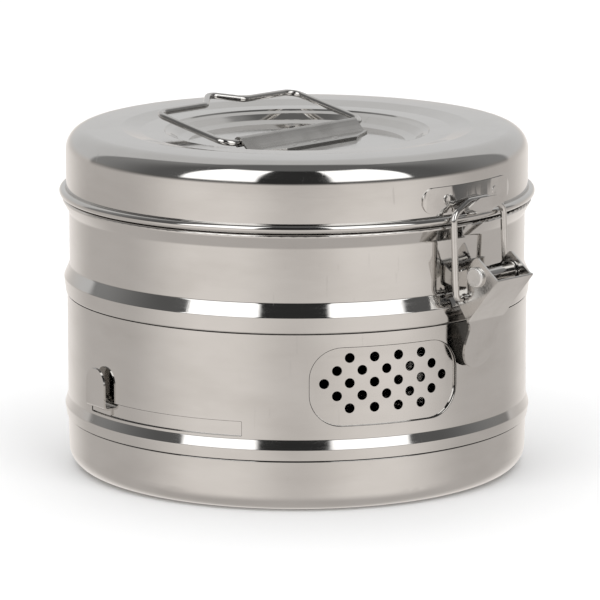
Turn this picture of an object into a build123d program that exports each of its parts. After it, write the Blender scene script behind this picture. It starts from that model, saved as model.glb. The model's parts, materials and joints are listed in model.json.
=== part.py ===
# Sterilization drum: a round steel box with a vent shutter, a hinged lid and an over-centre latch.
# Millimetres, +Z up. The origin is the centre of the flat underside of the base pan.
# The latch faces -Y and the hinge of the lid is at +Y.
from build123d import *

import os
from math import acos, atan2, cos, degrees, hypot, radians, sin

# Sheet, wire and the gaps between pieces
sheet = 0.6
thick_sheet = 0.8
lever_sheet = 0.9
free_gap = 0.3
pin_fit = 0.05
edge_round = 0.3
root_depth = 3.0

# Drum: outer face of its wall, the height where the lid's hem hangs, and the beads of the wall
wall_radius = 89.7
hem_height = 109.2
neck_rise = 4.8
neck_top = hem_height + neck_rise
neck_curl = 0.9
rim_bead_drop = 2.0
rim_bead_depth = 5.9
rim_bead_reach = 3.2
rim_bead_top = hem_height - rim_bead_drop
rim_bead_foot = rim_bead_top - rim_bead_depth
mid_bead_drop = 28.7
mid_bead_cone = 5.1
mid_bead_under = 6.1
mid_bead_reach = 2.2
mid_bead_lip = 1.5
mid_bead_return = 0.9
mid_bead_top = hem_height - mid_bead_drop
mid_bead_widest = mid_bead_top - mid_bead_cone
mid_bead_foot = mid_bead_widest - mid_bead_under
seat_top = 12.0
seat_slope = 1.5
foot_height = 9.0
wall_bends = (0.5, 0.9, 2.0, 1.5, 1.2, 0.8, 1.0, 1.0, 1.0)

# Base pan, and the outer shell with the bead at its lower edge
shell_step = 1.0
shell_gap = 0.6
shell_radius = wall_radius + shell_step
shell_top = mid_bead_foot - shell_gap
pan_radius = shell_radius
pan_draft = 0.4
pan_corner = 7.5
pan_rim = 26.9
pan_neck_depth = 5.7
pan_neck_slope = 1.4
pan_neck_step = 0.9
pan_neck = pan_rim - pan_neck_depth
pan_shoulder = pan_neck - pan_neck_slope
pan_rim_radius = pan_radius - pan_neck_step
pan_bends = (1.5, 0.9, pan_corner)
pan_inner_radius = pan_radius - pan_draft - sheet
low_bead_rise = 1.3
low_bead_cone = 3.7
low_bead_under = 4.1
low_bead_reach = 1.2
low_bead_lip = 0.5
low_bead_tail = 1.0
low_bead_top = pan_rim + low_bead_rise
low_bead_widest = low_bead_top - low_bead_cone
low_bead_foot = low_bead_widest - low_bead_under
band_bends = (1.5, 1.2, 1.0)

# Shutter ring between the drum's lower wall and the shell
ring_sheet = 0.5
ring_edge_gap = 0.8
ring_radius = shell_radius - sheet - free_gap
ring_top = shell_top - ring_edge_gap
lower_wall_radius = ring_radius - ring_sheet - free_gap

# Vent windows and their holes; angles are about +Z, from +X
window_angle = -114.5
window_turn = 180.0
window_arc = 39.0
window_height = 30.2
window_middle = (shell_top + low_bead_top) / 2
window_corner = 12.0
vent_rise = 1.25
hole_angle = -114.8
hole_radius = 1.92
hole_rows = (4, 5, 6, 5, 4)
hole_row_pitch = 4.85
hole_spacing = 9.8
vent_height = window_middle + vent_rise
hole_pitch = degrees(hole_spacing / ring_radius)

# Finger tab of the shutter and its slot in the shell
slot_start = 162.1
slot_end = 209.7
slot_rise = 1.1
slot_height = 5.7
slot_low = low_bead_top + slot_rise
slot_high = slot_low + slot_height
tab_width = 13.2
tab_sheet = 0.8
tab_reach = 3.6
tab_edge_gap = 0.5
tab_bend = 1.2
tab_root_height = 2.8
tab_height = 18.0
tab_root_low = slot_low + tab_edge_gap
tab_root_top = tab_root_low + tab_root_height
tab_top = tab_root_low + tab_height
tab_half_angle = degrees(0.5 * tab_width / shell_radius)
tab_angle = slot_start + tab_half_angle + degrees(tab_edge_gap / shell_radius)

# Lid
lid_gap = 0.5
lid_rise = 24.8
shoulder_radius = 8.5
lid_radius = wall_radius + lid_gap + sheet
lid_top = hem_height + lid_rise
rim_width = 21.8
step_width = 8.0
step_drop = 1.4
inner_flat_width = 9.0
well_slope_width = 10.0
well_depth = 6.0
step_outer = lid_radius - rim_width
step_inner = step_outer - step_width
well_radius = step_inner - inner_flat_width
well_floor_radius = well_radius - well_slope_width
well_floor = lid_top - well_depth
lid_bends = (shoulder_radius, 6.0, 6.0, 3.0, 8.0)
hem_radius = 1.65
hem_slit = 0.5
hem_wire_radius = hem_radius - sheet - pin_fit

# Folding handle on the lid, and its strap
handle_wire = 1.3
handle_clearance = 12.7
handle_reach = 40.0
handle_tilt = 11.5
handle_corner = 5.5
handle_rise = 3.2
handle_end_gap = 4.0
handle_span = 2 * (well_radius - handle_clearance)
handle_pivot = well_floor + handle_rise
kink_half = 11.0
kink_reach = 9.6
kink_bend = 4.0
strap_end_gap = 5.9
strap_length = handle_span - 2 * strap_end_gap
strap_curl_fit = 0.06
strap_curl_start = 250.0
strap_web_foot = 5.2
strap_flange = 13.6
strap_flange_half = 20.0
strap_flange_side = 7.0

# Latch: its pin stands in front of the wall; the other places are (outward, up) from the pin
pin_stand = 12.3
pin_drop = 21.0
pin_reach = wall_radius + pin_stand
pin_height = hem_height - pin_drop
pin_radius = 1.5
pin_head_radius = 4.0
pin_head_height = 1.5
pin_head_round = 0.8
pin_tail_radius = 2.3
pin_tail_height = 0.8
pin_tail_round = 0.4
ear_gap = 0.4
cheek_round = 4.0
spacer_radius = 2.4
bracket_low = -5.4
bracket_high = 3.8
cheek_root_high = -1.2

# Lever of the latch: its folded plate and the outline of its two ears
lever_half = 10.2
lever_fold_top = (10.4, -0.2)
lever_fold_foot = (-4.1, -17.9)
lever_tip = (-8.8, -37.4)
ear_peak = (0.2, 7.7)
ear_lobe = ((-8.6, -11.6), (-9.6, -8.8), (-8.2, -5.8))
ear_notch = ((-5.0, -5.4), (-5.0, 2.1), (-1.6, 6.3))
ear_bends = (1.2, 0.3, 0.3, 3.0, 3.0, 1.5, 1.2, 2.0, 4.0)
waist_top = -18.0
waist_height = -19.9
waist_half = 8.0
paddle_height = -27.2
paddle_half = 9.2
paddle_bends = (1.5, 3.0, 5.0, 9.1, 9.1, 5.0, 3.0, 1.5)
cheek_outer = lever_half - lever_sheet - ear_gap

# Bail of the latch: wire, width of its legs and the places that it passes
bail_wire = 1.25
bail_half = 14.4
bail_end = 8.6
bail_pivot = (-6.2, -8.8)
bail_shoulder = (-7.8, 23.1)
bail_crown = (-8.1, 27.8)
bail_crown_half = 5.0
bail_bends = (2.2, 4.0, 5.0, 5.0, 4.0, 2.2)
bail_hole_radius = 1.9
bail_hole_slack = bail_hole_radius - bail_wire - pin_fit

# Keeper plate on the lid, with the hook that holds the bail
keeper_rise = 2.8
keeper_height = 10.0
keeper_half = 24.9
keeper_low = hem_height + keeper_rise
keeper_high = keeper_low + keeper_height
hook_root_half = 4.6
hook_root_rise = 1.5
hook_line = ((-5.2, 23.0), (-4.3, 25.1), (-3.9, 26.8), (-2.9, 29.5))
hook_bends = (0.6, 1.0, 6.0, 6.0)
hook_wing_low = (8.3, 25.1)
hook_wing = (11.0, 25.7)
hook_crest = (5.2, 29.4)
hook_outline_bends = (0.4, 2.0, 0.5, 3.0, 3.0, 0.5, 2.0, 0.4)

# Hinge at the back
hinge_stand = 6.2
hinge_drop = 2.7
hinge_reach = lid_radius + hinge_stand
hinge_height = hem_height - hinge_drop
hinge_pin_radius = 1.65
hinge_pin_head = 2.4
hinge_pin_head_height = 1.0
leaf_half = 17.0
leaf_web = 3.5
leaf_slope = 5.5
leaf_height = 13.5
leaf_bend_low = hinge_height - leaf_web
leaf_high = leaf_bend_low - leaf_slope
leaf_low = leaf_high - leaf_height
lid_leaf_slope = 4.0
lid_leaf_height = 10.0
leaf_bend_high = hinge_height + leaf_web
lid_leaf_low = leaf_bend_high + lid_leaf_slope
lid_leaf_high = lid_leaf_low + lid_leaf_height
knuckle_count = 5

# Bound for cuts that go past the object
beyond = lid_top + hinge_reach


def half_plane(angle):
    """Upright plane through the drum's axis; its x is the distance from the axis."""
    turn = radians(angle)
    return Plane(origin=(0, 0, 0), x_dir=(cos(turn), sin(turn), 0), z_dir=(sin(turn), -cos(turn), 0))


def facing_plane(angle, height):
    """Upright plane at the axis that faces outward at an angle; its y is up."""
    turn = radians(angle)
    return Plane(origin=(0, 0, height), x_dir=(-sin(turn), cos(turn), 0), z_dir=(cos(turn), sin(turn), 0))


latch_side = half_plane(-90)
hinge_side = half_plane(90)


def from_pin(*places):
    """Places on the latch's plane from their (outward, up) distances to the latch's pin."""
    return [(pin_reach + outward, pin_height + up) for outward, up in places]


def sheet_section(skin, bends, low, high, thickness=sheet):
    """Section of a turned sheet from the points of its outer skin, cut at its lowest and highest edge."""
    with BuildSketch() as section:
        with BuildLine():
            edge = FilletPolyline(*skin, radius=bends)
            Polyline(edge @ 1, (-beyond, skin[-1][1]), (-beyond, skin[0][1]), edge @ 0)
        make_face()
        offset(amount=-thickness, mode=Mode.SUBTRACT)
        with Locations((beyond / 2, (low + high) / 2)):
            Rectangle(beyond, high - low, mode=Mode.INTERSECT)
    return section.sketch


def turn_profile(section):
    """Turn a section round the drum's axis into the part being built."""
    revolve(Plane.XZ * section, axis=Axis.Z)


def curved_plate(radius, thickness, half_width, low, high, angle):
    """Plate bent round the drum's axis, on a wall of the given radius."""
    half_arc = degrees(half_width / radius)
    with BuildSketch(half_plane(angle - half_arc)) as edge:
        with Locations((radius + thickness / 2, (low + high) / 2)):
            Rectangle(thickness, high - low)
    revolve(edge.sketch, axis=Axis.Z, revolution_arc=2 * half_arc)


def vent_hole_places(radius):
    """Places of all vent holes on a wall, with z pointing outward."""
    places = []
    for turn in (0.0, window_turn):
        for row, count in enumerate(hole_rows):
            height = vent_height + (row - (len(hole_rows) - 1) / 2) * hole_row_pitch
            for index in range(count):
                angle = hole_angle + turn + (index - (count - 1) / 2) * hole_pitch
                wall = facing_plane(angle, height).offset(radius)
                places.append(wall.location)
    return places


def cut_vent_holes(radius, thickness):
    """Cut the vent holes through the wall being built."""
    with Locations(*vent_hole_places(radius - thickness / 2)):
        Cylinder(hole_radius, 4 * thickness, mode=Mode.SUBTRACT)


def curl_ring(centre, radius, thickness, slit_side):
    """Curled edge of a sheet, open by a slit beside the wall that it hangs on."""
    with BuildSketch() as curl:
        with Locations(centre):
            Circle(radius)
            Circle(radius - thickness, mode=Mode.SUBTRACT)
        slit = (centre[0] - slit_side * (radius - thickness - hem_slit / 2), centre[1] + radius)
        with Locations(slit):
            Rectangle(hem_slit, 2 * radius - thickness, mode=Mode.SUBTRACT)
    return curl.sketch


# ---------------------------------------------------------------- drum

with BuildPart() as base_pan:
    pan_skin = (
        (pan_rim_radius, beyond),
        (pan_rim_radius, pan_neck),
        (pan_radius, pan_shoulder),
        (pan_radius - pan_draft, 0),
        (0, 0),
    )
    turn_profile(sheet_section(pan_skin, pan_bends, 0, pan_rim))
base_pan.part.label = "base_pan"

with BuildPart() as drum_wall:
    wall_skin = (
        (wall_radius, beyond),
        (wall_radius, rim_bead_top),
        (wall_radius + rim_bead_reach, rim_bead_top),
        (wall_radius, rim_bead_foot),
        (wall_radius, mid_bead_top),
        (wall_radius + mid_bead_reach, mid_bead_widest),
        (wall_radius + mid_bead_lip, mid_bead_foot),
        (lower_wall_radius, mid_bead_foot - mid_bead_return),
        (lower_wall_radius, seat_top),
        (pan_inner_radius - pin_fit, seat_top - seat_slope),
        (pan_inner_radius - pin_fit, -beyond),
    )
    turn_profile(sheet_section(wall_skin, wall_bends, foot_height, neck_top - neck_curl))
    neck_centre = (wall_radius - neck_curl, neck_top - neck_curl)
    with BuildSketch(Plane.XZ):
        with Locations(neck_centre):
            Circle(neck_curl)
            Circle(neck_curl - sheet, mode=Mode.SUBTRACT)
    revolve(axis=Axis.Z)
    cut_vent_holes(lower_wall_radius, sheet)
drum_wall.part.label = "drum_wall"

with BuildPart() as vent_band:
    band_skin = (
        (shell_radius, beyond),
        (shell_radius, low_bead_top),
        (shell_radius + low_bead_reach, low_bead_widest),
        (shell_radius + low_bead_lip, low_bead_foot - low_bead_tail),
        (shell_radius + low_bead_lip, -beyond),
    )
    turn_profile(sheet_section(band_skin, band_bends, low_bead_foot, shell_top))
    window_width = 2 * shell_radius * sin(radians(window_arc / 2))
    for window_side in (0.0, window_turn):
        with BuildSketch(facing_plane(window_angle + window_side, window_middle)):
            RectangleRounded(window_width, window_height, window_corner)
        extrude(amount=beyond, mode=Mode.SUBTRACT)
    with BuildSketch(half_plane(slot_start)):
        with Locations((shell_radius, (slot_low + slot_high) / 2)):
            Rectangle(4 * sheet, slot_high - slot_low)
    revolve(axis=Axis.Z, revolution_arc=slot_end - slot_start, mode=Mode.SUBTRACT)
vent_band.part.label = "vent_band"

with BuildPart() as latch_bracket:
    bracket_foot = pin_height + bracket_low
    bracket_top = pin_height + bracket_high
    cheek_root = wall_radius - root_depth
    curved_plate(wall_radius, thick_sheet, cheek_outer, bracket_foot, bracket_top, -90)
    for side in (-1, 1):
        with BuildSketch(latch_side.offset(side * (cheek_outer - thick_sheet / 2))):
            with BuildLine():
                Line((cheek_root, bracket_foot), (cheek_root, pin_height + cheek_root_high))
                CenterArc((pin_reach, pin_height), cheek_round, -90, 180)
            make_hull()
            with Locations((pin_reach, pin_height)):
                Circle(pin_radius + pin_fit, mode=Mode.SUBTRACT)
        extrude(amount=thick_sheet / 2, both=True)
    with Locations((0, 0, pin_height)):
        Cylinder(wall_radius, 4 * (bracket_top - bracket_foot), mode=Mode.SUBTRACT)
latch_bracket.part.label = "latch_bracket"

with BuildPart() as latch_spacer:
    with BuildSketch(latch_side):
        with Locations((pin_reach, pin_height)):
            Circle(spacer_radius)
            Circle(pin_radius + pin_fit, mode=Mode.SUBTRACT)
    extrude(amount=cheek_outer - thick_sheet, both=True)
latch_spacer.part.label = "latch_spacer"


# ---------------------------------------------------------------- hinge

knuckle_pitch = 2 * leaf_half / knuckle_count
knuckle_inner = hinge_pin_radius + pin_fit
knuckle_outer = knuckle_inner + thick_sheet


def hinge_leaf(plate_radius, plate_low, plate_high, bend_height, own_knuckles):
    """Leaf of the hinge: a plate on a wall, a web past the beads, and its own knuckles."""
    up = 1 if plate_low > hinge_height else -1
    plate_edge = plate_low if up > 0 else plate_high
    curved_plate(plate_radius, thick_sheet, leaf_half, plate_low, plate_high, 90)
    web_reach = hinge_reach - knuckle_outer + thick_sheet
    slope = abs(bend_height - plate_edge) / (hinge_reach - knuckle_outer - plate_radius)
    root_reach = plate_radius - root_depth
    root_height = plate_edge + up * slope * (plate_radius - root_reach)
    with BuildSketch(hinge_side) as web:
        with BuildLine():
            Polyline(
                (web_reach - thick_sheet, hinge_height),
                (web_reach - thick_sheet, bend_height),
                (root_reach - thick_sheet, root_height),
                (root_reach, root_height + up * thick_sheet / 2),
                (web_reach, bend_height + up * thick_sheet / 2),
                (web_reach, hinge_height),
                close=True,
            )
        make_face()
    extrude(web.sketch, amount=leaf_half, both=True)
    with Locations((0, 0, (plate_low + plate_high) / 2)):
        Cylinder(plate_radius, 4 * (plate_high - plate_low), mode=Mode.SUBTRACT)
    for index in range(knuckle_count):
        centre = (index - (knuckle_count - 1) / 2) * knuckle_pitch
        place = Location((centre, hinge_reach, hinge_height), (0, 90, 0))
        with Locations(place):
            if index in own_knuckles:
                Cylinder(knuckle_outer, knuckle_pitch - free_gap)
            else:
                Cylinder(knuckle_outer + free_gap, knuckle_pitch + free_gap, mode=Mode.SUBTRACT)
    with Locations(Location((0, hinge_reach, hinge_height), (0, 90, 0))):
        Cylinder(knuckle_inner, 3 * leaf_half, mode=Mode.SUBTRACT)


with BuildPart() as hinge_body_leaf:
    hinge_leaf(wall_radius, leaf_low, leaf_high, leaf_bend_low, (0, 2, 4))
hinge_body_leaf.part.label = "hinge_body_leaf"

with BuildPart() as hinge_lid_leaf:
    hinge_leaf(lid_radius, lid_leaf_low, lid_leaf_high, leaf_bend_high, (1, 3))
hinge_lid_leaf.part.label = "hinge_lid_leaf"

with BuildPart() as hinge_pin:
    with BuildSketch(hinge_side):
        with Locations((hinge_reach, hinge_height)):
            Circle(hinge_pin_radius)
    extrude(amount=leaf_half + free_gap, both=True)
    for side in (-1, 1):
        head_middle = side * (leaf_half + hinge_pin_head_height / 2)
        with Locations(Location((head_middle, hinge_reach, hinge_height), (0, 90, 0))):
            Cylinder(hinge_pin_head, hinge_pin_head_height)
hinge_pin.part.label = "hinge_pin"


# ---------------------------------------------------------------- vent shutter

with BuildPart() as shutter_ring:
    with BuildSketch(Plane.XY.offset(pan_rim + free_gap)):
        Circle(ring_radius)
        Circle(ring_radius - ring_sheet, mode=Mode.SUBTRACT)
    extrude(amount=ring_top - pan_rim - free_gap)
    cut_vent_holes(ring_radius, ring_sheet)
shutter_ring.part.label = "shutter_ring"

with BuildPart() as shutter_tab:
    finger_reach = ring_radius + tab_reach
    root_reach = ring_radius - root_depth
    curved_plate(ring_radius, tab_sheet, tab_width / 2, tab_root_low, tab_root_top, tab_angle)
    with BuildSketch(half_plane(tab_angle)):
        with BuildLine():
            FilletPolyline(
                (root_reach, tab_root_top - tab_sheet),
                (finger_reach, tab_root_top - tab_sheet),
                (finger_reach, tab_top),
                (finger_reach - tab_sheet, tab_top),
                (finger_reach - tab_sheet, tab_root_top),
                (root_reach, tab_root_top),
                radius=(tab_bend + tab_sheet, edge_round, edge_round, tab_bend),
            )
            Line((root_reach, tab_root_top), (root_reach, tab_root_top - tab_sheet))
        make_face()
    extrude(amount=tab_width / 2, both=True)
    with BuildSketch(facing_plane(tab_angle, 0)):
        with Locations((0, (tab_top - tab_width / 2 + tab_root_low) / 2)):
            Rectangle(tab_width, tab_top - tab_width / 2 - tab_root_low)
        with Locations((0, tab_top - tab_width / 2)):
            Circle(tab_width / 2)
    extrude(amount=beyond, mode=Mode.INTERSECT)
    with Locations((0, 0, (tab_root_low + tab_root_top) / 2)):
        Cylinder(ring_radius, slot_high - slot_low, mode=Mode.SUBTRACT)
shutter_tab.part.label = "shutter_tab"


# ---------------------------------------------------------------- lid

with BuildPart() as lid_shell:
    lid_skin = (
        (lid_radius, -beyond),
        (lid_radius, lid_top),
        (step_outer, lid_top),
        (step_inner, lid_top - step_drop),
        (well_radius, lid_top - step_drop),
        (well_floor_radius, well_floor),
        (0, well_floor),
    )
    turn_profile(sheet_section(lid_skin, lid_bends, hem_height, lid_top))
    hem_centre = (lid_radius - sheet + hem_radius, hem_height)
    turn_profile(curl_ring(hem_centre, hem_radius, sheet, 1))
lid_shell.part.label = "lid_shell"

with BuildPart() as lid_hem_wire:
    with BuildSketch(Plane.XZ):
        with Locations(hem_centre):
            Circle(hem_wire_radius)
    revolve(axis=Axis.Z)
lid_hem_wire.part.label = "lid_hem_wire"

with BuildPart() as keeper_plate:
    keeper_middle = (keeper_low + keeper_high) / 2
    curved_plate(lid_radius, sheet, keeper_half, keeper_low, keeper_high, -90)
    with BuildSketch(facing_plane(-90, keeper_middle)):
        SlotOverall(2 * keeper_half, keeper_high - keeper_low)
    extrude(amount=beyond, mode=Mode.INTERSECT)
    hook_skin = lid_radius + sheet / 2
    hook_path = from_pin(*hook_line)
    hook_floor = hook_path[0][1]
    with BuildSketch(latch_side):
        with BuildLine():
            FilletPolyline(
                (hook_skin, keeper_low + hook_root_rise),
                (hook_skin, hook_floor),
                *hook_path,
                radius=hook_bends,
            )
            offset(amount=sheet / 2)
        make_face()
    extrude(amount=hook_wing[0], both=True)
    with BuildSketch(facing_plane(-90, 0)):
        with Locations((0, keeper_middle)):
            Rectangle(2 * keeper_half, keeper_high - keeper_low)
        with Locations((0, (hook_floor - sheet + keeper_low) / 2)):
            Rectangle(2 * hook_root_half, keeper_low - hook_floor + sheet)
    extrude(amount=beyond, mode=Mode.INTERSECT)
    outline_foot = hook_floor - root_depth
    wing_low, wing, crest = (pin_height + up for side, up in (hook_wing_low, hook_wing, hook_crest))
    with BuildSketch(facing_plane(-90, 0).offset(hook_path[0][0] - 2 * sheet)):
        with Locations((0, keeper_middle)):
            Rectangle(4 * hook_wing[0], 3 * keeper_height)
        with BuildLine(mode=Mode.PRIVATE) as tongue:
            FilletPolyline(
                (-hook_root_half, outline_foot),
                (-hook_root_half, keeper_low),
                (-hook_wing_low[0], wing_low),
                (-hook_wing[0], wing),
                (-hook_crest[0], crest),
                (hook_crest[0], crest),
                (hook_wing[0], wing),
                (hook_wing_low[0], wing_low),
                (hook_root_half, keeper_low),
                (hook_root_half, outline_foot),
                radius=hook_outline_bends,
            )
            Line((hook_root_half, outline_foot), (-hook_root_half, outline_foot))
        make_face(tongue.edges(), mode=Mode.SUBTRACT)
    extrude(amount=beyond, mode=Mode.SUBTRACT)
    with Locations((0, 0, keeper_middle)):
        Cylinder(lid_radius, 2 * keeper_height, mode=Mode.SUBTRACT)
keeper_plate.part.label = "keeper_plate"

with BuildPart() as handle_strap:
    curl_middle = handle_wire + strap_curl_fit + thick_sheet / 2
    flange_height = well_floor + thick_sheet / 2
    flange_drop = handle_pivot - flange_height
    web_turn = acos(curl_middle / hypot(strap_web_foot, flange_drop))
    curl_end = degrees(web_turn - atan2(flange_drop, strap_web_foot))
    with BuildSketch(latch_side):
        with BuildLine():
            curl = CenterArc((0, handle_pivot), curl_middle, strap_curl_start, curl_end - strap_curl_start)
            web = Line(curl @ 1, (strap_web_foot, flange_height))
            Line(web @ 1, (strap_flange, flange_height))
            offset(amount=thick_sheet / 2)
        make_face()
    extrude(amount=strap_length / 2, both=True)
    with BuildSketch():
        with BuildLine():
            Polyline(
                (-strap_length / 2, root_depth),
                (-strap_length / 2, -strap_flange_side),
                (-strap_flange_half, -strap_flange),
                (strap_flange_half, -strap_flange),
                (strap_length / 2, -strap_flange_side),
                (strap_length / 2, root_depth),
                close=True,
            )
        make_face()
    extrude(amount=lid_top + beyond, mode=Mode.INTERSECT)
handle_strap.part.label = "handle_strap"

handle_side = Plane(
    origin=(0, 0, handle_pivot),
    x_dir=(1, 0, 0),
    z_dir=(0, -sin(radians(handle_tilt)), cos(radians(handle_tilt))),
)
with BuildPart() as lid_handle:
    with BuildLine(handle_side) as handle_path:
        FilletPolyline(
            (-handle_end_gap / 2, 0),
            (-handle_span / 2, 0),
            (-handle_span / 2, handle_reach),
            (-kink_half, handle_reach),
            (0, handle_reach + kink_reach),
            (kink_half, handle_reach),
            (handle_span / 2, handle_reach),
            (handle_span / 2, 0),
            (handle_end_gap / 2, 0),
            radius=(
                handle_corner,
                handle_corner,
                kink_bend,
                kink_bend,
                kink_bend,
                handle_corner,
                handle_corner,
            ),
        )
    with BuildSketch(Plane(origin=handle_path.line @ 0, z_dir=handle_path.line % 0)):
        Circle(handle_wire)
    sweep()
lid_handle.part.label = "lid_handle"


# ---------------------------------------------------------------- latch

with BuildPart() as latch_lever:
    peak, fold_top, fold_foot, tip = from_pin(ear_peak, lever_fold_top, lever_fold_foot, lever_tip)
    pivot = from_pin(bail_pivot)[0]
    with BuildSketch(latch_side):
        with BuildLine():
            Polyline(fold_top, fold_foot, tip)
            offset(amount=lever_sheet / 2)
        make_face()
    extrude(amount=lever_half, both=True)
    with BuildSketch(facing_plane(-90, pin_height)):
        with BuildLine():
            FilletPolyline(
                (-lever_half, ear_peak[1]),
                (-lever_half, waist_top),
                (-waist_half, waist_height),
                (-paddle_half, paddle_height),
                (-paddle_half, lever_tip[1]),
                (paddle_half, lever_tip[1]),
                (paddle_half, paddle_height),
                (waist_half, waist_height),
                (lever_half, waist_top),
                (lever_half, ear_peak[1]),
                radius=paddle_bends,
            )
            Line((lever_half, ear_peak[1]), (-lever_half, ear_peak[1]))
        make_face()
    extrude(amount=2 * pin_reach, mode=Mode.INTERSECT)
    for side in (-1, 1):
        with BuildSketch(latch_side.offset(side * (lever_half - lever_sheet / 2))):
            with BuildLine():
                FilletPolyline(
                    peak,
                    fold_top,
                    fold_foot,
                    *from_pin(*ear_lobe, *ear_notch),
                    radius=ear_bends,
                    close=True,
                )
            make_face()
        extrude(amount=lever_sheet / 2, both=True)
    with BuildSketch(latch_side):
        with Locations((pin_reach, pin_height)):
            Circle(pin_radius)
        with Locations(pivot):
            Circle(bail_wire + pin_fit)
        with Locations((pivot[0] + bail_hole_slack, pivot[1])):
            Circle(bail_hole_radius)
    extrude(amount=2 * lever_half, both=True, mode=Mode.SUBTRACT)
latch_lever.part.label = "latch_lever"

with BuildPart() as latch_pin:
    with BuildSketch(latch_side):
        with Locations((pin_reach, pin_height)):
            Circle(pin_radius)
    extrude(amount=lever_half, both=True)
    head_middle = lever_half + pin_head_height / 2
    tail_middle = lever_half + pin_tail_height / 2
    with Locations(Location((-head_middle, -pin_reach, pin_height), (0, 90, 0))):
        Cylinder(pin_head_radius, pin_head_height)
    with Locations(Location((tail_middle, -pin_reach, pin_height), (0, 90, 0))):
        Cylinder(pin_tail_radius, pin_tail_height)
    fillet(latch_pin.faces().sort_by(Axis.X)[0].edges(), radius=pin_head_round)
    fillet(latch_pin.faces().sort_by(Axis.X)[-1].edges(), radius=pin_tail_round)
latch_pin.part.label = "latch_pin"

with BuildPart() as latch_bail:
    pivot, shoulder, crown = from_pin(bail_pivot, bail_shoulder, bail_crown)
    with BuildLine() as bail_path:
        FilletPolyline(
            (-bail_end, -pivot[0], pivot[1]),
            (-bail_half, -pivot[0], pivot[1]),
            (-bail_half, -shoulder[0], shoulder[1]),
            (-bail_crown_half, -crown[0], crown[1]),
            (bail_crown_half, -crown[0], crown[1]),
            (bail_half, -shoulder[0], shoulder[1]),
            (bail_half, -pivot[0], pivot[1]),
            (bail_end, -pivot[0], pivot[1]),
            radius=bail_bends,
        )
    with BuildSketch(Plane(origin=bail_path.line @ 0, z_dir=bail_path.line % 0)):
        Circle(bail_wire)
    sweep()
latch_bail.part.label = "latch_bail"


pieces = (
    base_pan,
    drum_wall,
    vent_band,
    latch_bracket,
    latch_spacer,
    hinge_body_leaf,
    hinge_lid_leaf,
    hinge_pin,
    shutter_ring,
    shutter_tab,
    lid_shell,
    lid_hem_wire,
    keeper_plate,
    handle_strap,
    lid_handle,
    latch_lever,
    latch_pin,
    latch_bail,
)
os.makedirs("parts", exist_ok=True)
for piece in pieces:
    export_step(piece.part, f"parts/{piece.part.label}.step")
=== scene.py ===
# Sterilization drum in polished and brushed stainless steel, on a pale floor under soft studio light.
# Metres, +Z up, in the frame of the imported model: the latch faces -Y and the lid's hinge is at +Y.
import json
from math import cos, degrees, pi, radians, sin, sqrt, tan

import bmesh
import bpy
from mathutils import Matrix, Vector


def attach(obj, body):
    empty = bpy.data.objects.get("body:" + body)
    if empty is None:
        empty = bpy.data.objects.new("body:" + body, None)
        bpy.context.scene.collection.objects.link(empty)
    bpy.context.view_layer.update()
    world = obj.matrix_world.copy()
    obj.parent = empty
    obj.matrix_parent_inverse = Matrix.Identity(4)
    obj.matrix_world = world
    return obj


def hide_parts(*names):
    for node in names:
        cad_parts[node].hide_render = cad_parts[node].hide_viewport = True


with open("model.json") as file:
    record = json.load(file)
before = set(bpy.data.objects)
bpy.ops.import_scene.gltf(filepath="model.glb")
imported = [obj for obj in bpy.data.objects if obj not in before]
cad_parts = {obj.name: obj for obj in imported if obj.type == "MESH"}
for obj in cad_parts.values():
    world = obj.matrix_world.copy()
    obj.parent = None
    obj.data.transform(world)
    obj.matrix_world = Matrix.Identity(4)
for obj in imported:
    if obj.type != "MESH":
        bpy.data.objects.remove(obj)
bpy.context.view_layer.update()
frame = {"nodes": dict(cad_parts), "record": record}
mm = 0.001

# Camera: to the left of the latch for someone who faces it, and a little above the drum
camera_turn = radians(-47)
camera_rise = radians(11.32)
camera_distance = 1700 * mm
camera_aim_height = 64.1 * mm
camera_aim_side = 1.2 * mm
camera_lens = 257.7
camera_reach = 20.0

# Studio: strength of the light that comes from each side, seen from the camera
front_light = 0.8
side_light = 1.02
flank_light = 0.64
rear_light = 0.94
table_light = 0.6
front_dark = 0.035
side_dark = 0.13
flank_dark = 0.3
ceiling_dark = 0.17
rear_glow = 0.7
panel_light = 2.0
backdrop_light = 1.0
warm_tone = (1.0, 0.95, 0.91)
cool_tone = (1.0, 1.0, 1.0)

# Studio: where the light changes, in degrees sideways from the camera and above the horizon
front_fade = (0, 34)
flank_fade = (48, 95)
rear_fade = (125, 160)
dark_fade = (18, 26)
flank_dark_fade = (72, 118)
dark_sides = (-123, 128)
dark_sides_edge = 5
rear_glow_top = (66, 76)
ceiling_height = (62, 72)
horizon_fade = (-7, 4)
tone_fade = (-2, 10)
table_fade = (-70, -25)
left_panel = (-59, -20)
right_panel = (17, 58)
panel_edge = 3
panel_height = (8, 65)
panel_height_edge = 8

# Floor
floor_half = 3.0
floor_colour = (0.9, 0.9, 0.9)
floor_roughness = 0.9
floor_lamp_height = 2.5
floor_lamp_size = 5.0
floor_lamp_power = 95.0

# Steel colours, and the depth of the marks that polishing leaves
bright_steel = (0.63, 0.618, 0.602)
dull_steel = (0.55, 0.535, 0.515)
# The latch pin's steel colours are lighter than the other steel: painted light that makes the pin's head
# read brighter
pin_lit_bright = (0.86, 0.85, 0.83)
pin_lit_dull = (0.76, 0.75, 0.73)
# The strap's steel colours are darker than the other steel: painted shade for the dark that the strap
# shows; its rougher brushed finish is its own
strap_shaded_bright = (0.46, 0.45, 0.435)
strap_shaded_dull = (0.36, 0.35, 0.335)
steel_colours = (bright_steel, dull_steel)
strap_shaded_colours = (strap_shaded_bright, strap_shaded_dull)
pin_lit_colours = (pin_lit_bright, pin_lit_dull)
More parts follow.
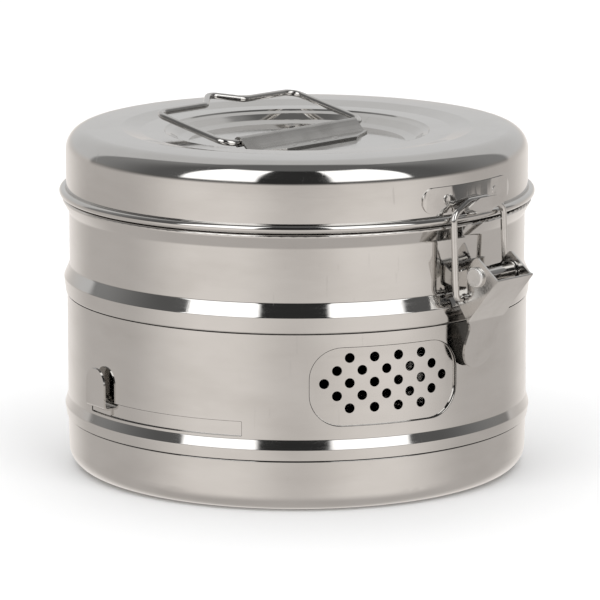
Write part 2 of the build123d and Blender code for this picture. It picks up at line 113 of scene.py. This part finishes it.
# Near-black colour of painted shade, put in the seams and along the edges of the openings where they fall
# in shadow
seam_shade_colour = (0.012, 0.010, 0.008)
sheet_relief = (0.012 * mm, 0.0022 * mm)
strap_relief = (0.004 * mm, 0.0016 * mm)
fitting_relief = (0.006 * mm, 0.0012 * mm)
wire_relief = (0.002 * mm, 0.0008 * mm)
scratch_depth = 0.002 * mm

# Steel: span of noise that shows, then each mark's share in the colour and what it adds to the roughness
line_span = (0.3, 0.7)
stain_span = (0.42, 0.72)
scratch_span = (0.71, 0.75)
stain_share = 0.45
wave_share = 0.55
stain_roughness = 0.04
scratch_roughness = 0.12
line_detail = 3.0
line_blend = 0.65
stain_detail = 3.0

# Steel turned round the drum: how fast its marks change along the turn and across it
turned_lines = (4, 1100)
turned_waves = (5, 170)
turned_stains = (26, 26, 60)
turned_scratch_tilt = (0.5, 0.3, 0.7)
turned_scratches = (45, 1000, 70)

# Brushed steel: how fast its marks change along each axis
fitting_lines = (40, 1200, 1200)
wire_lines = (500, 500, 500)
strap_lines = (25, 900, 900)
pin_lines = (700, 700, 700)
brushed_waves = 220.0
brushed_stains = 95.0
brushed_scratch_tilt = (0.2, 0.9, 0.4)
brushed_scratches = (90, 1300, 150)

# Least and greatest roughness of each finish
body_roughness = (0.045, 0.09)
shutter_roughness = (0.07, 0.13)
fitting_roughness = (0.08, 0.15)
wire_roughness = (0.07, 0.13)
strap_roughness = (0.16, 0.28)
latch_pin_roughness = (0.34, 0.46)
hinge_pin_roughness = (0.3, 0.4)
seam_shade_roughness = (0.7, 0.95)
seam_shade_grain = 900.0

# Lid: outer skin from its open edge to the middle, as (reach, height, bend radius)
lid_sheet = 0.6 * mm
lid_steps = 256
lid_bend_steps = 10
lid_skin = (
    (90.8, 109.2, 0),
    (90.8, 134.0, 8.5),
    (69.0, 134.0, 6.0),
    (61.0, 132.6, 6.0),
    (52.2, 132.6, 0.3),
    (51.6, 131.9, 0.5),
    (49.6, 131.2, 0.8),
    (46.8, 128.9, 1.6),
    (42.8, 128.0, 2.0),
    (0, 128.0, 0),
)
hem_place = (91.85 * mm, 109.2 * mm)
hem_curl = 1.65 * mm
hem_sides = 32

# Rounded edges of the stamped fittings
cut_edge = 0.08 * mm
cut_edge_steps = 2
cut_edge_angle = radians(35)
smooth_angle = radians(20)
flat_angle = radians(0.4)
merge_distance = 0.002 * mm

# Spot welds: small round dents with a raised ring
weld_radius = 1.9 * mm
weld_ring = 0.14 * mm
weld_root = 0.1 * mm
weld_lip = 0.45 * mm
weld_dent = 0.1 * mm
weld_sides = 32

# Where the welds are: outer face of each sheet, turn from the middle of the fitting, and height
latch_angle = -90
hinge_angle = 90
keeper_skin = 91.4 * mm
keeper_weld_turn = 8.7
keeper_weld_height = 117.2 * mm
bracket_skin = 90.5 * mm
bracket_weld_turn = 2.6
bracket_weld_height = 87.4 * mm
body_leaf_skin = 90.5 * mm
body_leaf_weld_height = 90.7 * mm
lid_leaf_skin = 91.6 * mm
lid_leaf_weld_height = 119.0 * mm
leaf_weld_turn = 7.2
strap_skin = 128.8 * mm
strap_weld_reach = -9.6 * mm
strap_weld_pitch = 12.0 * mm

# Openings of the shell: angle about +Z that each faces, and (middle height, width, height, corner radius)
front_window_angle = -114.5
rear_window_angle = 65.5
tab_slot_angle = 185.9
window = (48.45 * mm, 60.55 * mm, 30.2 * mm, 12.0 * mm)
tab_slot = (32.15 * mm, 73.2 * mm, 5.7 * mm, 0.3 * mm)
shell_reach = 90.7 * mm
# Lines of painted shade round the openings: width round a window and round the slot, depth into the shell
# and rise above it
window_line = 0.17 * mm
slot_line = 0.1 * mm
line_root = 0.05 * mm
line_rise = 0.02 * mm
line_corner_steps = 12
line_cuts = 40

# Painted shade in the seams, dark rings where the joints fall in shadow: (inner radius, outer radius,
# lowest height, highest height)
seam_shade_steps = 256
pan_seam = (89.9 * mm, 90.66 * mm, 19.8 * mm, 20.39 * mm)
shell_seam = (89.4 * mm, 90.68 * mm, 68.72 * mm, 69.2 * mm)
rim_seam = (90.0 * mm, 91.3 * mm, 107.15 * mm, 107.5 * mm)


# ---------------------------------------------------------------- nodes of a material or a light


class Recipe:
    """Node tree of a finish or of the studio light, with the few steps that both need."""

    def __init__(self, tree):
        self.tree = tree

    def add(self, kind, **settings):
        node = self.tree.nodes.new(kind)
        for name, value in settings.items():
            setattr(node, name, value)
        return node

    def feed(self, socket, value):
        """Give a socket a fixed value, or the output of another node."""
        if isinstance(value, bpy.types.NodeSocket):
            self.tree.links.new(value, socket)
        else:
            socket.default_value = value

    def math(self, operation, first, second=0.0):
        node = self.add("ShaderNodeMath", operation=operation)
        self.feed(node.inputs[0], first)
        self.feed(node.inputs[1], second)
        return node.outputs[0]

    def fade(self, value, span, start=0.0, end=1.0):
        """Smooth change from one value to another while the input goes through a span."""
        node = self.add("ShaderNodeMapRange", interpolation_type="SMOOTHSTEP")
        self.feed(node.inputs["Value"], value)
        node.inputs["From Min"].default_value = span[0]
        node.inputs["From Max"].default_value = span[1]
        node.inputs["To Min"].default_value = start
        node.inputs["To Max"].default_value = end
        return node.outputs[0]

    def band(self, value, span, edge):
        """One inside a span and zero outside it, with soft edges."""
        rise = self.fade(value, (span[0] - edge / 2, span[0] + edge / 2))
        fall = self.fade(value, (span[1] - edge / 2, span[1] + edge / 2), 1.0, 0.0)
        return self.math("MULTIPLY", rise, fall)

    def mix(self, share, first, second):
        node = self.add("ShaderNodeMix", data_type="FLOAT")
        for index, value in ((0, share), (2, first), (3, second)):
            self.feed(node.inputs[index], value)
        return node.outputs[0]

    def noise(self, vector, scale, detail=2.0, roughness=0.5):
        node = self.add("ShaderNodeTexNoise")
        self.feed(node.inputs["Vector"], vector)
        node.inputs["Scale"].default_value = scale
        node.inputs["Detail"].default_value = detail
        node.inputs["Roughness"].default_value = roughness
        return node.outputs["Fac"]

    def scaled(self, vector, scale):
        node = self.add("ShaderNodeVectorMath", operation="MULTIPLY")
        self.feed(node.inputs[0], vector)
        node.inputs[1].default_value = scale
        return node.outputs[0]


# ---------------------------------------------------------------- studio


def studio_light():
    """Soft light round the object: pale walls, a dark ceiling and two tall light panels."""
    world = bpy.data.worlds.new("studio")
    bpy.context.scene.world = world
    world.use_nodes = True
    world.node_tree.nodes.clear()
    light = Recipe(world.node_tree)
    place = light.add("ShaderNodeTexCoord")
    turn = light.add("ShaderNodeVectorRotate", rotation_type="Z_AXIS")
    light.feed(turn.inputs["Vector"], place.outputs["Generated"])
    turn.inputs["Angle"].default_value = -camera_turn
    split = light.add("ShaderNodeSeparateXYZ")
    light.feed(split.inputs[0], turn.outputs[0])
    to_degrees = degrees(1)
    height = light.math("MULTIPLY", light.math("ARCSINE", split.outputs["Z"]), to_degrees)
    ahead = light.math("MULTIPLY", split.outputs["Y"], -1.0)
    side = light.math("MULTIPLY", light.math("ARCTAN2", split.outputs["X"], ahead), to_degrees)
    away = light.math("ABSOLUTE", side)

    low = light.fade(away, front_fade, front_light, side_light)
    low = light.mix(light.fade(away, flank_fade), low, flank_light)
    low = light.mix(light.fade(away, rear_fade), low, rear_light)
    low = light.mix(light.fade(height, table_fade), table_light, low)
    dark = light.fade(away, dark_fade, front_dark, side_dark)
    dark = light.mix(light.fade(away, flank_dark_fade), dark, flank_dark)
    glow = light.fade(height, rear_glow_top, rear_glow, ceiling_dark)
    dark = light.mix(light.fade(height, ceiling_height), dark, ceiling_dark)
    high = light.mix(light.band(side, dark_sides, dark_sides_edge), glow, dark)
    left = light.band(side, left_panel, panel_edge)
    right = light.band(side, right_panel, panel_edge)
    panels = light.math("MAXIMUM", left, right)
    panels = light.math("MULTIPLY", panels, light.band(height, panel_height, panel_height_edge))
    high = light.mix(panels, high, panel_light)
    strength = light.mix(light.fade(height, horizon_fade), low, high)
    tone = light.add("ShaderNodeMix", data_type="RGBA")
    light.feed(tone.inputs[0], light.fade(height, tone_fade))
    tone.inputs[6].default_value = (*warm_tone, 1)
    tone.inputs[7].default_value = (*cool_tone, 1)

    round_object = light.add("ShaderNodeBackground")
    light.feed(round_object.inputs["Strength"], strength)
    light.feed(round_object.inputs["Color"], tone.outputs[2])
    backdrop = light.add("ShaderNodeBackground")
    backdrop.inputs["Strength"].default_value = backdrop_light
    path = light.add("ShaderNodeLightPath")
    pick = light.add("ShaderNodeMixShader")
    light.feed(pick.inputs[0], path.outputs["Is Camera Ray"])
    light.feed(pick.inputs[1], round_object.outputs[0])
    light.feed(pick.inputs[2], backdrop.outputs[0])
    out = light.add("ShaderNodeOutputWorld")
    light.feed(out.inputs["Surface"], pick.outputs[0])


def pale_floor():
    mesh = bpy.data.meshes.new("floor")
    plate = bmesh.new()
    bmesh.ops.create_grid(plate, x_segments=1, y_segments=1, size=floor_half)
    plate.to_mesh(mesh)
    plate.free()
    floor = bpy.data.objects.new("floor", mesh)
    bpy.context.scene.collection.objects.link(floor)
    paper = bpy.data.materials.new("floor_paper")
    paper.use_nodes = True
    shader = paper.node_tree.nodes["Principled BSDF"]
    shader.inputs["Base Color"].default_value = (*floor_colour, 1)
    shader.inputs["Roughness"].default_value = floor_roughness
    mesh.materials.append(paper)
    floor.visible_glossy = False
    lamp_data = bpy.data.lights.new("floor_lamp", "AREA")
    lamp_data.size = floor_lamp_size
    lamp_data.energy = floor_lamp_power
    lamp = bpy.data.objects.new("floor_lamp", lamp_data)
    lamp.location = (0, 0, floor_lamp_height)
    lamp.visible_glossy = False
    bpy.context.scene.collection.objects.link(lamp)


def camera_at_view():
    data = bpy.data.cameras.new("camera")
    data.lens = camera_lens
    data.clip_end = camera_reach
    camera = bpy.data.objects.new("camera", data)
    bpy.context.scene.collection.objects.link(camera)
    level = cos(camera_rise)
    backward = Vector((sin(camera_turn) * level, -cos(camera_turn) * level, sin(camera_rise)))
    sideways = Vector((cos(camera_turn), sin(camera_turn), 0))
    aim = Vector((0, 0, camera_aim_height)) + sideways * camera_aim_side
    camera.location = aim + backward * camera_distance
    camera.rotation_euler = (-backward).to_track_quat("-Z", "Y").to_euler()
    bpy.context.scene.camera = camera


# ---------------------------------------------------------------- steel finishes


def round_the_drum(steel):
    """Coordinates of marks that run round the drum's axis, as turning and polishing leave them."""
    place = steel.add("ShaderNodeTexCoord").outputs["Object"]
    level = steel.scaled(place, (1, 1, 0))
    reach = steel.add("ShaderNodeVectorMath", operation="LENGTH")
    steel.feed(reach.inputs[0], level)
    heading = steel.add("ShaderNodeVectorMath", operation="NORMALIZE")
    steel.feed(heading.inputs[0], level)
    split = steel.add("ShaderNodeSeparateXYZ")
    steel.feed(split.inputs[0], place)
    across = steel.math("ADD", reach.outputs["Value"], split.outputs["Z"])
    rise = steel.add("ShaderNodeCombineXYZ")
    steel.feed(rise.inputs["Z"], across)
    return place, heading.outputs[0], rise.outputs[0]


def streaks_round(steel, heading, rise, along, across):
    """Coordinates for noise drawn out round the drum, scaled along the turn and across it."""
    total = steel.add("ShaderNodeVectorMath", operation="MULTIPLY_ADD")
    steel.feed(total.inputs[0], heading)
    total.inputs[1].default_value = (along, along, along)
    steel.feed(total.inputs[2], steel.scaled(rise, (0, 0, across)))
    return total.outputs[0]


def new_steel(name):
    material = bpy.data.materials.new(name)
    material.use_nodes = True
    steel = Recipe(material.node_tree)
    shader = material.node_tree.nodes["Principled BSDF"]
    shader.inputs["Metallic"].default_value = 1.0
    return material, steel, shader


def scratch_marks(steel, place, turn, scale):
    """A few short scratches that lie across the brush lines."""
    slanted = steel.add("ShaderNodeMapping")
    steel.feed(slanted.inputs["Vector"], place)
    slanted.inputs["Rotation"].default_value = turn
    slanted.inputs["Scale"].default_value = scale
    return steel.fade(steel.noise(slanted.outputs[0], 1.0, 1.0), scratch_span)


def finish_steel(steel, shader, waves, lines, stains, scratches, roughness, depths, colours):
    """Colour, roughness and relief of a steel from its waves, brush lines, dull stains and scratches."""
    dull = steel.fade(stains, stain_span)
    stained = steel.math("MULTIPLY", dull, stain_share)
    worn = steel.math("ADD", stained, steel.math("MULTIPLY", waves, wave_share))
    tint = steel.add("ShaderNodeMix", data_type="RGBA")
    steel.feed(tint.inputs[0], worn)
    tint.inputs[6].default_value = (*colours[0], 1)
    tint.inputs[7].default_value = (*colours[1], 1)
    steel.feed(shader.inputs["Base Color"], tint.outputs[2])
    rough = steel.fade(lines, line_span, *roughness)
    rough = steel.math("ADD", rough, steel.math("MULTIPLY", dull, stain_roughness))
    rough = steel.math("ADD", rough, steel.math("MULTIPLY", scratches, scratch_roughness))
    steel.feed(shader.inputs["Roughness"], rough)
    relief = steel.math("MULTIPLY", waves, depths[0])
    relief = steel.math("ADD", relief, steel.math("MULTIPLY", lines, depths[1]))
    relief = steel.math("SUBTRACT", relief, steel.math("MULTIPLY", scratches, scratch_depth))
    bump = steel.add("ShaderNodeBump")
    bump.inputs["Strength"].default_value = 1.0
    bump.inputs["Distance"].default_value = 1.0
    steel.feed(bump.inputs["Height"], relief)
    steel.feed(shader.inputs["Normal"], bump.outputs[0])


def turned_steel(name, roughness):
    """Sheet steel polished while it turns: lines round the drum, soft waves and dull stains."""
    material, steel, shader = new_steel(name)
    place, heading, rise = round_the_drum(steel)
    fine = streaks_round(steel, heading, rise, *turned_lines)
    lines = steel.noise(fine, 1.0, line_detail, line_blend)
    waves = steel.noise(streaks_round(steel, heading, rise, *turned_waves), 1.0)
    stains = steel.noise(steel.scaled(place, turned_stains), 1.0, stain_detail)
    scratches = scratch_marks(steel, place, turned_scratch_tilt, turned_scratches)
    finish_steel(steel, shader, waves, lines, stains, scratches, roughness, sheet_relief, steel_colours)
    return material


def brushed_steel(name, along, roughness, depths, colours=steel_colours):
    """Steel with straight brush lines, for stamped fittings and drawn wire."""
    material, steel, shader = new_steel(name)
    place = steel.add("ShaderNodeTexCoord").outputs["Object"]
    lines = steel.noise(steel.scaled(place, along), 1.0, line_detail, line_blend)
    waves = steel.noise(place, brushed_waves)
    stains = steel.noise(place, brushed_stains, stain_detail)
    scratches = scratch_marks(steel, place, brushed_scratch_tilt, brushed_scratches)
    finish_steel(steel, shader, waves, lines, stains, scratches, roughness, depths, colours)
    return material


def seam_shade_finish():
    """Near-black, rough painted shade for the seams and the edges of the openings."""
    material = bpy.data.materials.new("painted_seam_shade")
    material.use_nodes = True
    shade_paint = Recipe(material.node_tree)
    shader = material.node_tree.nodes["Principled BSDF"]
    place = shade_paint.add("ShaderNodeTexCoord").outputs["Object"]
    grain = shade_paint.noise(place, seam_shade_grain)
    shade = shade_paint.add("ShaderNodeMix", data_type="RGBA")
    shade_paint.feed(shade.inputs[0], grain)
    shade.inputs[6].default_value = (0, 0, 0, 1)
    shade.inputs[7].default_value = (*seam_shade_colour, 1)
    shade_paint.feed(shader.inputs["Base Color"], shade.outputs[2])
    shade_paint.feed(shader.inputs["Roughness"], shade_paint.fade(grain, line_span, *seam_shade_roughness))
    return material


finishes = {
    "body_steel": turned_steel("body_steel", body_roughness),
    "shutter_steel": turned_steel("shutter_steel", shutter_roughness),
    "fitting_steel": brushed_steel("fitting_steel", fitting_lines, fitting_roughness, fitting_relief),
    "wire_steel": brushed_steel("wire_steel", wire_lines, wire_roughness, wire_relief),
}
piece_finishes = {
    # The strap's darker steel colours are painted shade
    "handle_strap": brushed_steel("strap_steel_painted_shade", strap_lines, strap_roughness, strap_relief, strap_shaded_colours),
    # The latch pin's lighter steel colours are painted light
    "latch_pin": brushed_steel("pin_steel", pin_lines, latch_pin_roughness, wire_relief, pin_lit_colours),
    "hinge_pin": brushed_steel("hinge_pin_steel", pin_lines, hinge_pin_roughness, wire_relief),
}
painted_seam_shade = seam_shade_finish()
node_slots = {entry["node"]: entry["material_slot"] for entry in frame["record"]["subparts"]}


# ---------------------------------------------------------------- pieces


def new_piece(name, work, body, material):
    """Object from finished mesh work, on the body that it moves with."""
    mesh = bpy.data.meshes.new(name)
    for face in work.faces:
        face.smooth = True
    work.to_mesh(mesh)
    work.free()
    mesh.materials.append(material)
    piece = bpy.data.objects.new(name, mesh)
    bpy.context.scene.collection.objects.link(piece)
    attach(piece, body)
    return piece


def deburred(node):
    """The stamped piece of a node, with the sharp edges of its sheet rounded."""
    work = bmesh.new()
    work.from_mesh(frame["nodes"][node].data)
    bmesh.ops.remove_doubles(work, verts=work.verts, dist=merge_distance)
    bmesh.ops.dissolve_limit(work, angle_limit=flat_angle, verts=work.verts, edges=work.edges)
    cuts = [edge for edge in work.edges if edge.is_manifold and edge.calc_face_angle() > cut_edge_angle]
    bmesh.ops.bevel(
        work,
        geom=cuts,
        affect="EDGES",
        offset=cut_edge,
        segments=cut_edge_steps,
        profile=0.5,
        material=-1,
        clamp_overlap=True,
    )
    piece = new_piece(node + "_deburred", work, node_bodies[node], finish_of(node))
    piece.data.set_sharp_from_angle(angle=smooth_angle)
    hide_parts(node)
    return piece


def spin_round(work, steps):
    """Turn a section round the drum's axis into a closed skin that faces outward."""
    bmesh.ops.spin(
        work,
        geom=work.verts[:] + work.edges[:],
        cent=(0, 0, 0),
        axis=(0, 0, 1),
        angle=2 * pi,
        steps=steps,
        use_merge=True,
    )
    bmesh.ops.remove_doubles(work, verts=work.verts, dist=merge_distance)
    bmesh.ops.recalc_face_normals(work, faces=work.faces)


def join_in_line(work, corners, closed):
    ends = corners[1:] + corners[:1] if closed else corners[1:]
    for start, end in zip(corners, ends):
        work.edges.new((start, end))


def round_corner(work, corner, before, after, radius):
    """Round one corner of a section to a bend radius."""
    turn = pi - (before - corner.co).angle(after - corner.co)
    bmesh.ops.bevel(
        work,
        geom=[corner],
        affect="VERTICES",
        offset=radius * tan(turn / 2),
        segments=lid_bend_steps,
        profile=0.5,
        material=-1,
        clamp_overlap=False,
    )


def pressed_lid():
    """Skin of the lid with its shoulder, step and well, and the curled hem at its edge."""
    work = bmesh.new()
    places = [Vector((reach * mm, 0, height * mm)) for reach, height, bend in lid_skin]
    corners = [work.verts.new(place) for place in places]
    join_in_line(work, corners, closed=False)
    for index in range(1, len(corners) - 1):
        bend = lid_skin[index][2] * mm
        round_corner(work, corners[index], places[index - 1], places[index + 1], bend)
    spin_round(work, lid_steps)
    if max(work.faces, key=lambda face: face.calc_center_median().z).normal.z < 0:
        bmesh.ops.reverse_faces(work, faces=work.faces)
    bmesh.ops.solidify(work, geom=work.faces[:], thickness=lid_sheet)
    lid = new_piece("pressed_lid", work, "lid", finishes["body_steel"])
    lid.data.set_sharp_from_angle(angle=cut_edge_angle)
    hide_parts("lid_shell")
    work = bmesh.new()
    bmesh.ops.create_circle(
        work,
        segments=hem_sides,
        radius=hem_curl,
        matrix=Matrix.Translation((hem_place[0], 0, hem_place[1])) @ Matrix.Rotation(pi / 2, 4, "X"),
    )
    spin_round(work, lid_steps)
    new_piece("lid_hem_curl", work, "lid", finishes["body_steel"])


def seam_shade_ring(name, seam):
    """Thin dark ring of painted shade in a seam round the drum."""
    inner, outer, low, high = seam
    work = bmesh.new()
    section = ((inner, 0, low), (outer, 0, low), (outer, 0, high), (inner, 0, high))
    join_in_line(work, [work.verts.new(place) for place in section], closed=True)
    spin_round(work, seam_shade_steps)
    return new_piece(name, work, "drum", painted_seam_shade)


def edge_shade_line(name, angle, opening, line):
    """Thin dark line of painted shade on the shell, all round the edge of an opening that faces one way."""
    middle, width, height, corner = opening
    work = bmesh.new()
    bmesh.ops.create_grid(work, x_segments=1, y_segments=1, size=0.5)
    bmesh.ops.scale(work, vec=(width + 2 * line, height + 2 * line, 1), verts=work.verts)
    bmesh.ops.bevel(
        work,
        geom=work.verts[:],
        affect="VERTICES",
        offset=corner + line,
        segments=line_corner_steps,
        profile=0.5,
        material=-1,
    )
    long_edges = [edge for edge in work.edges if edge.calc_length() > height]
    bmesh.ops.subdivide_edges(work, edges=long_edges, cuts=line_cuts)
    inside = bmesh.ops.dissolve_faces(work, faces=work.faces[:])["region"]
    bmesh.ops.inset_individual(work, faces=inside, thickness=line)
    bmesh.ops.delete(work, geom=inside, context="FACES")
    raised = bmesh.ops.extrude_face_region(work, geom=work.faces[:], use_keep_orig=True)
    top = [part for part in raised["geom"] if isinstance(part, bmesh.types.BMVert)]
    bmesh.ops.translate(work, vec=(0, 0, line_root + line_rise), verts=top)
    outward = on_wall(1, angle, 0)[1]
    along = Vector((0, 0, 1)).cross(outward)
    for point in work.verts:
        across, up, lift = point.co
        reach = shell_reach - line_root + lift
        depth = sqrt(reach**2 - across**2)
        point.co = along * across + outward * depth + Vector((0, 0, middle + up))
    bmesh.ops.recalc_face_normals(work, faces=work.faces)
    return new_piece(name, work, "drum", painted_seam_shade)


def add_weld(work, place, outward):
    """Spot weld on a sheet: a low round ring round a shallow dent, open where it sinks into the sheet."""
    upright = Vector(outward).to_track_quat("Z", "Y").to_matrix().to_4x4()
    made = bmesh.ops.create_circle(
        work,
        cap_ends=True,
        segments=weld_sides,
        radius=weld_radius,
        matrix=Matrix.Translation(Vector(place) - Vector(outward) * weld_root) @ upright,
    )
    dent = made["verts"][0].link_faces[0]
    if dent.normal.dot(Vector(outward)) < 0:
        dent.normal_flip()
    for inset, rise in ((weld_lip / 2, weld_root + weld_ring), (weld_lip / 2, 0), (weld_lip, -weld_dent)):
        bmesh.ops.inset_individual(work, faces=[dent], thickness=inset, depth=rise)


def weld_marks(name, node, places):
    """Spot welds of one fitting, given as pairs of a place and the way that the sheet faces there."""
    work = bmesh.new()
    for place, outward in places:
        add_weld(work, place, outward)
    return new_piece(name, work, node_bodies[node], finishes[node_slots[node]])


def on_wall(reach, angle, height):
    """Place on an upright round wall, and the way that it faces."""
    turn = radians(angle)
    outward = Vector((cos(turn), sin(turn), 0))
    return outward * reach + Vector((0, 0, height)), outward


def welds_across(reach, middle, turns, height):
    """Welds side by side on a round wall, each at its own turn from the middle of the fitting."""
    return [on_wall(reach, middle + turn, height) for turn in turns]


def strap_weld_places():
    """Three welds along the flange that holds the strap to the bottom of the well."""
    up = Vector((0, 0, 1))
    row = (-strap_weld_pitch, 0, strap_weld_pitch)
    return [(Vector((along, strap_weld_reach, strap_skin)), up) for along in row]


def finish_of(node):
    """Finish of a node: its own where it has one, and else that of its slot."""
    return piece_finishes.get(node, finishes[node_slots[node]])


node_bodies = {
    node: body
    for body, members in frame["record"]["behaviour"]["bodies"].items()
    for node in members
}


studio_light()
pale_floor()
camera_at_view()
for name, node in frame["nodes"].items():
    node.data.materials.clear()
    node.data.materials.append(finish_of(name))

for name in (
    "latch_bracket",
    "hinge_body_leaf",
    "hinge_lid_leaf",
    "shutter_tab",
    "keeper_plate",
    "handle_strap",
    "latch_lever",
):
    deburred(name)

keeper_turns = (-keeper_weld_turn, keeper_weld_turn)
bracket_turns = (-bracket_weld_turn, bracket_weld_turn)
leaf_turns = (-leaf_weld_turn, 0, leaf_weld_turn)
for name, node, reach, middle, turns, height in (
    ("keeper_welds", "keeper_plate", keeper_skin, latch_angle, keeper_turns, keeper_weld_height),
    ("bracket_welds", "latch_bracket", bracket_skin, latch_angle, bracket_turns, bracket_weld_height),
    ("hinge_body_welds", "hinge_body_leaf", body_leaf_skin, hinge_angle, leaf_turns, body_leaf_weld_height),
    ("hinge_lid_welds", "hinge_lid_leaf", lid_leaf_skin, hinge_angle, leaf_turns, lid_leaf_weld_height),
):
    weld_marks(name, node, welds_across(reach, middle, turns, height))
weld_marks("strap_welds", "handle_strap", strap_weld_places())

pressed_lid()
# Dark rings of painted shade in the seams of the pan, the shell and the rim
seam_shade_ring("pan_seam_painted_shade", pan_seam)
seam_shade_ring("shell_seam_painted_shade", shell_seam)
seam_shade_ring("rim_seam_painted_shade", rim_seam)
# Dark lines of painted shade round the edges of the windows and the tab's slot
edge_shade_line("front_window_painted_shade", front_window_angle, window, window_line)
edge_shade_line("rear_window_painted_shade", rear_window_angle, window, window_line)
edge_shade_line("tab_slot_painted_shade", tab_slot_angle, tab_slot, slot_line)

bpy.context.scene.view_settings.view_transform = "Standard"
